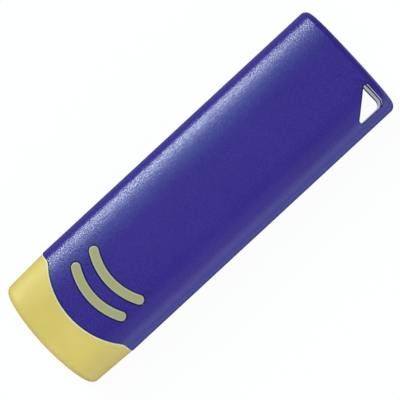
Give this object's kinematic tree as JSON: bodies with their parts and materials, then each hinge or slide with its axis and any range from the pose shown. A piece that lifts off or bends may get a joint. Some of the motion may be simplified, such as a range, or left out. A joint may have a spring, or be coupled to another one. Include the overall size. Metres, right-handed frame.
{
  "type": "plastic eraser",
  "caption": "Slim pocket eraser: soft yellow eraser block in a blue two-part moulded case with a curved mouth, curved windows in the front and a three-cornered lanyard hole in one corner.",
  "frame": {"origin": "middle of the face that the eraser lies on, under the centre of its outline", "axes": "+X along the length from the eraser tip to the lanyard end, +Z out of the front cover, which has the windows; the lanyard hole is in the +X -Y corner"},
  "size_m": [0.0602, 0.019, 0.0095],
  "materials": {
    "front_case_plastic": "blue violet moulded plastic with a fine satin grain",
    "rear_case_plastic": "blue violet moulded plastic with a fine satin grain",
    "eraser_compound": "soft yellow eraser compound, slightly translucent, with a dull smooth skin"
  },
  "bodies": {
    "root": {"front_cover": "front_case_plastic", "rear_cover": "rear_case_plastic", "eraser_block": "eraser_compound"}
  },
  "joints": []
}
